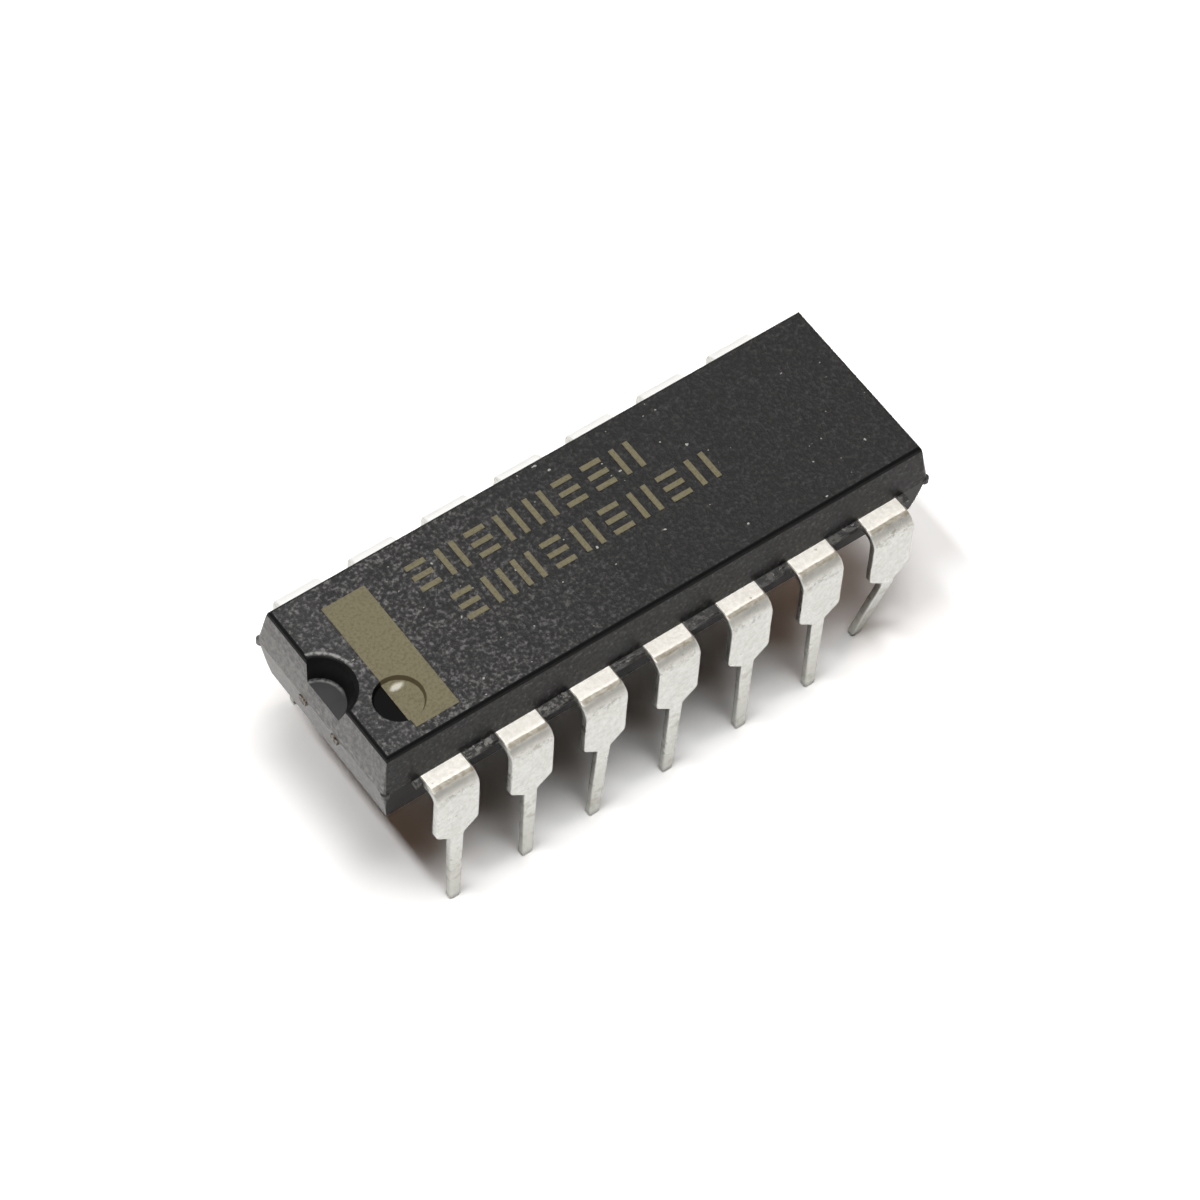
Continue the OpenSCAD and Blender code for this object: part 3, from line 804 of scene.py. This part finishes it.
def section(half, half_t):
    """One closed section of the strip as (sideways, outward): outer face, right edge, inner face, left."""
    edge_r = min(EDGE_R, 0.7 * half, 0.8 * half_t)
    profile = rim_profile(edge_r, half_t)
    reach = half - edge_r
    outer = [(-reach + 2 * reach * share, half_t) for share in ACROSS]
    right = [(half - inset, height) for inset, height in profile]
    inner = [(-u, -half_t) for u, _ in outer]
    left = [(inset - half, height) for inset, height in reversed(profile)]
    return outer + right + inner + left


def tinned(place, normal, seed):
    """Where a point of the outer strip lies once the tin has run unevenly over it."""
    wave = noise.noise(place * WAVES + seed)
    ripple = noise.noise(place * RIPPLES + seed)
    sideways = noise.noise(place * SIDE_WAVES - seed)
    return place + normal * (wave * WAVE_MM + ripple * RIPPLE_MM) + Vector((sideways * WAVE_MM, 0, 0))


def finger_path(k):
    """The middle line of a finger in the resin, from its anchor to the die pad, k pitches from the middle."""
    way = 1 if k > 0 else -1
    x = abs(k) * PITCH
    if k == 0:
        return [Vector((0, ANCHOR_Y)), Vector((0, SIDE_LANE_Y - FINGER_W / 2))]
    if abs(k) == 1:
        return [
            Vector((way * x, ANCHOR_Y)),
            Vector((way * x, ANCHOR_Y - FINGER_W / 2)),
            Vector((way * (x - FINGER_W), SIDE_LANE_Y)),
            Vector((way * PAD_L / 3, SIDE_LANE_Y)),
        ]
    lane = SECOND_LANE_Y if abs(k) == 2 else FIRST_LANE_Y
    slope = ANCHOR_Y - FINGER_W / 2 - lane
    return [
        Vector((way * x, ANCHOR_Y)),
        Vector((way * x, lane + slope)),
        Vector((way * (x - slope), lane)),
        Vector((way * (PAD_L / 2 + STRIP_GAP), lane)),
    ]


def left_of(v):
    """A direction turned a quarter to the left."""
    return Vector((-v.y, v.x))


def mitres(path):
    """How far a strip's left edge stands from its middle line at each point, for a half width of one."""
    found = []
    for k in range(len(path)):
        before = left_of((path[max(k, 1)] - path[max(k, 1) - 1]).normalized())
        following = min(k, len(path) - 2)
        after = left_of((path[following + 1] - path[following]).normalized())
        both = before + after
        found.append(both * 2 / both.dot(both))
    return found


def flat_outline(k):
    """The finger and anchor in the resin, from the wall down the +X side, round the finger and back."""
    x = k * PITCH
    path = finger_path(k)
    sides = mitres(path)
    near_edge = [point + side * (FINGER_W / 2) for point, side in zip(path, sides)]
    far_edge = [point - side * (FINGER_W / 2) for point, side in zip(path, sides)]
    anchor = [Vector((x + BLADE_HALF, SECTION_START_Y)), Vector((x + BLADE_HALF, ANCHOR_Y)), near_edge[0]]
    outline = [anchor[0]] + arc_corner(anchor[0], anchor[1], anchor[2], FINGER_W / 2)
    outline += near_edge + far_edge[::-1]
    anchor = [far_edge[0], Vector((x - BLADE_HALF, ANCHOR_Y)), Vector((x - BLADE_HALF, SECTION_START_Y))]
    outline += arc_corner(anchor[0], anchor[1], anchor[2], FINGER_W / 2) + [anchor[2]]
    return outline


def outward_normals(outline):
    """Mitred outward normals of an open outline that runs clockwise; its ends point straight sideways."""
    found = []
    for k, point in enumerate(outline):
        before = (point - outline[k - 1]).normalized() if k > 0 else None
        after = (outline[k + 1] - point).normalized() if k < len(outline) - 1 else None
        normals = [left_of(way) for way in (before, after) if way is not None]
        both = normals[0] + normals[-1]
        found.append(both * 2 / both.dot(both))
    return found


def add_point(shape, flat_point, z):
    """A vertex from a point of an outline and its height."""
    return shape.verts.new((flat_point.x, flat_point.y, z))


def build_hole(shape, k, profile):
    """The wall of the locking hole, as columns of vertices."""
    middle = Vector((k * PITCH, (WALL_Y + ANCHOR_Y) / 2))
    hole = []
    for j in range(HOLE_SIDES):
        angle = 2 * math.pi * j / HOLE_SIDES
        way = Vector((math.cos(angle), math.sin(angle)))
        hole.append([
            add_point(shape, middle + way * (LOCK_HOLE_R + inset), MID_Z + height)
            for inset, height in profile
        ])
    for j, one in enumerate(hole):
        two = hole[(j + 1) % HOLE_SIDES]
        for m in range(len(profile) - 1):
            shape.faces.new((one[m], two[m], two[m + 1], one[m + 1]))
    return hole


def build_flat(shape, k, first_ring):
    """The flat part inside the resin, joined to the first section of the strip outside."""
    outline = flat_outline(k)
    profile = rim_profile(EDGE_R, HALF_T)
    across = len(ACROSS)
    rim = len(profile)
    columns = [first_ring[across:across + rim]]
    for point, normal in list(zip(outline, outward_normals(outline)))[1:-1]:
        columns.append([
            add_point(shape, point - normal * inset, MID_Z + height)
            for inset, height in profile
        ])
    columns.append(first_ring[2 * across + rim:][::-1])
    for one, two in zip(columns, columns[1:]):
        for j in range(rim - 1):
            shape.faces.new((one[j], one[j + 1], two[j + 1], two[j]))
    hole = build_hole(shape, k, profile)
    outer_mids = first_ring[:across]
    inner_mids = first_ring[across + rim:2 * across + rim]
    for level, mids in ((0, outer_mids), (-1, inner_mids[::-1])):
        border = [column[level] for column in columns] + list(mids)
        ring = [column[level] for column in hole]
        flat = [[v.co.copy() for v in border], [v.co.copy() for v in ring]]
        known = border + ring
        for triangle in tessellate_polygon(flat):
            shape.faces.new([known[j] for j in triangle])


def build_strip(shape, k, stations, seed):
    """The strip outside the resin; gives back its first ring of vertices, in the wall."""
    rings = []
    for place, normal, half, shift, thickness in stations:
        facing = Vector((0, normal.x, normal.y))
        free = min(1.0, max(0.0, (place.x - WALL_Y) / RUN_IN)) if place.y > BEND_Z else 1.0
        ring = []
        for sideways, outward in section(half, HALF_T * thickness):
            point = Vector((k * PITCH + shift + sideways, place.x, place.y)) + facing * outward
            ring.append(shape.verts.new(point.lerp(tinned(point, facing, seed), free)))
        rings.append(ring)
    for one, two in zip(rings, rings[1:]):
        for j in range(len(one)):
            following = (j + 1) % len(one)
            shape.faces.new((one[j], one[following], two[following], two[j]))
    shape.faces.new(rings[-1])
    return rings[0]


def build_lead(number):
    """One lead as a single skin: finger and anchor in the resin, shoulder, bend, blade and pin outside."""
    k = (LEADS_PER_SIDE - 1) // 2 - (number - 1) % LEADS_PER_SIDE
    near = number <= LEADS_PER_SIDE
    lean = LEANS.get(number, 0.0) * (-1 if near else 1)
    seed = Vector([number * step for step in SEED_STEPS])
    shape = bmesh.new()
    first_ring = build_strip(shape, k, lead_stations(lean, number == BENT_LEAD), seed)
    build_flat(shape, k, first_ring)
    turn = Matrix.Rotation(math.pi if near else 0.0, 4, "Z") @ Matrix.Scale(MM, 4)
    bmesh.ops.transform(shape, matrix=turn, verts=shape.verts)
    bmesh.ops.recalc_face_normals(shape, faces=shape.faces)
    lead = finish_piece(f"tinned_lead_{number}", shape, "lead_tin")
    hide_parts(f"lead_{number}")


def build_crumb(name, place, radius, stretch):
    """A ragged crumb of resin flash left standing on the parting line."""
    shape = bmesh.new()
    bmesh.ops.create_icosphere(shape, subdivisions=3, radius=radius * MM)
    for vert in shape.verts:
        rough = 1 + CRUMB_ROUGHNESS * noise.noise(vert.co / (radius * MM) * CRUMB_WAVES + Vector(place))
        vert.co = Vector((vert.co.x * stretch[0], vert.co.y * stretch[1], vert.co.z * stretch[2])) * rough
        vert.co += Vector(place) * MM
    finish_piece(name, shape, "resin")


# The studio

def make_camera():
    """The photo's camera."""
    azimuth = math.radians(CAMERA_AZIMUTH)
    elevation = math.radians(CAMERA_ELEVATION)
    roll = math.radians(CAMERA_ROLL)
    back = Vector((
        math.sin(azimuth) * math.cos(elevation),
        -math.cos(azimuth) * math.cos(elevation),
        math.sin(elevation),
    ))
    level_right = (-back).cross(Vector((0, 0, 1))).normalized()
    level_up = level_right.cross(-back)
    right = level_right * math.cos(roll) + level_up * math.sin(roll)
    up = level_up * math.cos(roll) - level_right * math.sin(roll)
    place = back * CAMERA_DISTANCE + right * CAMERA_SLIDE[0] + up * CAMERA_SLIDE[1]
    place.z += CAMERA_TARGET_Z
    data = bpy.data.cameras.new("camera")
    data.sensor_width = SENSOR_MM
    data.lens = LENS_MM
    data.clip_start = 0.01
    data.clip_end = 10.0
    camera = bpy.data.objects.new("camera", data)
    turn = Matrix((right, up, back)).transposed().to_4x4()
    camera.matrix_world = Matrix.Translation(place * MM) @ turn
    bpy.context.scene.collection.objects.link(camera)
    bpy.context.scene.camera = camera


def mirrored_rays(n, rays):
    """One for the rays that metal or glass sends on."""
    return n.either(rays["Is Glossy Ray"], rays["Is Transmission Ray"])


def make_floor():
    """White paper: plain for the light it sends back, and brighter where the camera or the metal sees it."""
    mesh = bpy.data.meshes.new("floor")
    shape = bmesh.new()
    bmesh.ops.create_circle(shape, cap_ends=True, segments=96, radius=FLOOR_R_METRES)
    shape.to_mesh(mesh)
    shape.free()
    floor = bpy.data.objects.new("floor", mesh)
    bpy.context.scene.collection.objects.link(floor)
    material = bpy.data.materials.new("floor_paper")
    material.use_nodes = True
    n = Nodes(material.node_tree)
    rays = n.add("ShaderNodeLightPath").outputs
    tone = n.mix(mirrored_rays(n, rays), PAPER_TONE, MIRRORED_TONE)
    paper = n.add("ShaderNodeBsdfDiffuse")
    n.link(n.mix(rays["Is Camera Ray"], tone, SEEN_TONE), paper.inputs["Color"])
    n.link(paper.outputs[0], n.add("ShaderNodeOutputMaterial").inputs["Surface"])
    mesh.materials.append(material)


def make_lamp(name, tilt, spread, share, turn, colour):
    """A soft lamp that points at the part's foot."""
    ahead = Vector((math.tan(math.radians(tilt[0])), math.tan(math.radians(tilt[1])), 1))
    place = ahead * LAMP_HEIGHT_METRES
    reach = place.length
    data = bpy.data.lights.new(name, "AREA")
    data.shape = "RECTANGLE"
    data.size = 2 * reach * math.tan(math.radians(spread[0]))
    data.size_y = 2 * reach * math.tan(math.radians(spread[1]))
    data.energy = share * math.pi ** 2 * reach ** 3 / LAMP_HEIGHT_METRES
    data.color = colour
    lamp = bpy.data.objects.new(name, data)
    back = place.normalized()
    side = (Vector((1, 0, 0)) - back * back.x).normalized()
    aim = Matrix((side, back.cross(side), back)).transposed().to_4x4()
    lamp.matrix_world = Matrix.Translation(place) @ aim @ Matrix.Rotation(math.radians(turn), 4, "Z")
    bpy.context.scene.collection.objects.link(lamp)


def background(n, tone, strength=1.0):
    """A background's light."""
    node = n.add("ShaderNodeBackground")
    n.put(tone, node.inputs["Color"])
    n.put(strength, node.inputs["Strength"])
    return node.outputs[0]


def blend(n, share, first, second):
    """One light or another, by a share."""
    node = n.add("ShaderNodeMixShader")
    for value, socket in zip((share, first, second), node.inputs):
        n.link(value, socket)
    return node.outputs[0]


def make_world():
    """White to the camera; metal sees a white backdrop behind the part and a dimmer room in front of it."""
    world = bpy.data.worlds.new("studio")
    bpy.context.scene.world = world
    world.use_nodes = True
    n = Nodes(world.node_tree)
    rays = n.add("ShaderNodeLightPath").outputs
    way = n.add("ShaderNodeSeparateXYZ")
    n.link(n.add("ShaderNodeTexCoord").outputs["Generated"], way.inputs[0])
    behind = n.add("ShaderNodeMapRange")
    behind.inputs["From Min"].default_value = FRONT_TO_BACK[0]
    behind.inputs["From Max"].default_value = FRONT_TO_BACK[1]
    n.link(way.outputs["Y"], behind.inputs["Value"])
    front = n.ramp(way.outputs["Z"], FRONT_LEVELS)
    back = n.ramp(way.outputs["Z"], BACK_LEVELS)
    room = background(n, n.mix(behind.outputs["Result"], front, back))
    light = blend(n, mirrored_rays(n, rays), background(n, FILL_TONE, FILL_LEVEL), room)
    light = blend(n, rays["Is Camera Ray"], light, background(n, BACKDROP_TONE))
    n.link(light, n.add("ShaderNodeOutputWorld").inputs["Surface"])


make_camera()
dress_nodes()
for lead_number in range(1, 2 * LEADS_PER_SIDE + 1):
    build_lead(lead_number)
for crumb in FLASH_CRUMBS:
    build_crumb(*crumb)
make_floor()
make_world()
for lamp in LAMPS:
    make_lamp(*lamp)
bpy.context.scene.view_settings.view_transform = "Standard"
